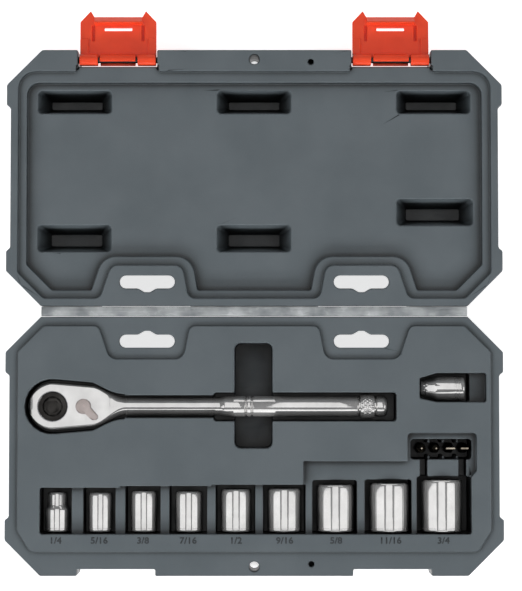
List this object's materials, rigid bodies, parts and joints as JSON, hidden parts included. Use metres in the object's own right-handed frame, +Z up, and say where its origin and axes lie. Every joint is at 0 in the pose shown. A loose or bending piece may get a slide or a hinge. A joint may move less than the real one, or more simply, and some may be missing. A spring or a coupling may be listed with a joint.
{
  "type": "socket wrench set in case",
  "caption": "Hinged plastic tool box lying open, with a ratchet, a row of sockets, a bit holder and screwdriver bits in moulded pockets and two clip latches.",
  "frame": {"origin": "centre of the open box's outline, with both latches pointing out past the lid, on the surface it rests on", "axes": "+Z up, +Y from the base towards the open lid, +X to the right along the hinge"},
  "size_m": [0.318, 0.3632, 0.0316],
  "materials": {
    "case_plastic": "satin blow-moulded polyethylene, slate grey",
    "latch_plastic": "satin moulded polypropylene, orange red",
    "chrome": "polished chrome plate",
    "dark_steel": "black oxide on hardened steel",
    "spring_steel": "bright spring steel",
    "magnet": "nickel plated magnet"
  },
  "bodies": {
    "base": {"base_shell": "case_plastic", "base_tray": "case_plastic", "living_hinge": "case_plastic"},
    "lid": {"lid_shell": "case_plastic", "lid_panel": "case_plastic"},
    "latch_left": {"latch_left": "latch_plastic"},
    "latch_right": {"latch_right": "latch_plastic"},
    "ratchet": {"ratchet_body": "chrome", "retaining_ring": "spring_steel"},
    "gear": {"drive_gear": "dark_steel", "button_spring": "spring_steel"},
    "button": {"quick_release_button": "dark_steel"},
    "drive_ball": {"drive_detent_ball": "spring_steel"},
    "pawl": {"pawl": "spring_steel"},
    "lever": {"reversing_lever": "chrome", "lever_detent_ball": "spring_steel", "lever_detent_spring": "spring_steel"},
    "bit_holder": {"bit_holder": "chrome", "bit_holder_magnet": "magnet"},
    "socket_1_4": {"socket_1_4": "chrome"},
    "socket_5_16": {"socket_5_16": "chrome"},
    "socket_3_8": {"socket_3_8": "chrome"},
    "socket_7_16": {"socket_7_16": "chrome"},
    "socket_1_2": {"socket_1_2": "chrome"},
    "socket_9_16": {"socket_9_16": "chrome"},
    "socket_5_8": {"socket_5_8": "chrome"},
    "socket_11_16": {"socket_11_16": "chrome"},
    "socket_3_4": {"socket_3_4": "chrome"},
    "bit_phillips_2": {"bit_phillips_2": "dark_steel"},
    "bit_phillips_1": {"bit_phillips_1": "dark_steel"},
    "bit_slotted_6": {"bit_slotted_6": "dark_steel"},
    "bit_slotted_5": {"bit_slotted_5": "dark_steel"}
  },
  "joints": [
    {"name": "lid_hinge", "type": "hinge", "parent": "base", "child": "lid", "pos_m": [0, -0.0133, 0.03015], "axis": [-1, 0, 0], "range_deg": [-180, 0]},
    {"name": "latch_left_hinge", "type": "hinge", "parent": "lid", "child": "latch_left", "pos_m": [-0.088, 0.14905, 0.025], "axis": [-1, 0, 0], "range_deg": [-90, 0]},
    {"name": "latch_right_hinge", "type": "hinge", "parent": "lid", "child": "latch_right", "pos_m": [0.088, 0.14905, 0.025], "axis": [-1, 0, 0], "range_deg": [-90, 0]},
    {"name": "ratchet_lift", "type": "slide", "parent": "base", "child": "ratchet", "axis": [0, 0, 1], "range_m": [0, 0.06]},
    {"name": "gear_spin", "type": "hinge", "parent": "ratchet", "child": "gear", "pos_m": [-0.129, -0.07395, 0.0208], "axis": [0, 0, 1], "continuous": true},
    {"name": "lever_swing", "type": "hinge", "parent": "ratchet", "child": "lever", "pos_m": [-0.1092, -0.07395, 0.0208], "axis": [0, 0, 1], "range_deg": [0, 85.2]},
    {"name": "pawl_rock", "type": "hinge", "parent": "ratchet", "child": "pawl", "pos_m": [-0.1164, -0.07395, 0.0208], "axis": [0, 0, 1], "range_deg": [-12, 0]},
    {"name": "button_press", "type": "slide", "parent": "gear", "child": "button", "axis": [0, 0, -1], "range_m": [0, 0.002], "stiffness_N_per_m": 600, "springref_m": -0.001, "deforming": ["button_spring"]},
    {"name": "drive_ball_slide", "type": "slide", "parent": "gear", "child": "drive_ball", "axis": [1, 0, 0], "range_m": [0, 0.00075]},
    {"name": "socket_1_4_lift", "type": "slide", "parent": "base", "child": "socket_1_4", "axis": [0, 0, 1], "range_m": [0, 0.06]},
    {"name": "socket_5_16_lift", "type": "slide", "parent": "base", "child": "socket_5_16", "axis": [0, 0, 1], "range_m": [0, 0.06]},
    {"name": "socket_3_8_lift", "type": "slide", "parent": "base", "child": "socket_3_8", "axis": [0, 0, 1], "range_m": [0, 0.06]},
    {"name": "socket_7_16_lift", "type": "slide", "parent": "base", "child": "socket_7_16", "axis": [0, 0, 1], "range_m": [0, 0.06]},
    {"name": "socket_1_2_lift", "type": "slide", "parent": "base", "child": "socket_1_2", "axis": [0, 0, 1], "range_m": [0, 0.06]},
    {"name": "socket_9_16_lift", "type": "slide", "parent": "base", "child": "socket_9_16", "axis": [0, 0, 1], "range_m": [0, 0.06]},
    {"name": "socket_5_8_lift", "type": "slide", "parent": "base", "child": "socket_5_8", "axis": [0, 0, 1], "range_m": [0, 0.06]},
    {"name": "socket_11_16_lift", "type": "slide", "parent": "base", "child": "socket_11_16", "axis": [0, 0, 1], "range_m": [0, 0.06]},
    {"name": "socket_3_4_lift", "type": "slide", "parent": "base", "child": "socket_3_4", "axis": [0, 0, 1], "range_m": [0, 0.06]},
    {"name": "bit_holder_lift", "type": "slide", "parent": "base", "child": "bit_holder", "axis": [0, 0, 1], "range_m": [0, 0.06]},
    {"name": "bit_phillips_2_lift", "type": "slide", "parent": "base", "child": "bit_phillips_2", "axis": [0, 0, 1], "range_m": [0, 0.06]},
    {"name": "bit_phillips_1_lift", "type": "slide", "parent": "base", "child": "bit_phillips_1", "axis": [0, 0, 1], "range_m": [0, 0.06]},
    {"name": "bit_slotted_6_lift", "type": "slide", "parent": "base", "child": "bit_slotted_6", "axis": [0, 0, 1], "range_m": [0, 0.06]},
    {"name": "bit_slotted_5_lift", "type": "slide", "parent": "base", "child": "bit_slotted_5", "axis": [0, 0, 1], "range_m": [0, 0.06]}
  ],
  "couplings": [
    {"joint": "pawl_rock", "follows": "lever_swing", "ratio": -0.14085},
    {"joint": "drive_ball_slide", "follows": "button_press", "ratio": 0.375}
  ]
}
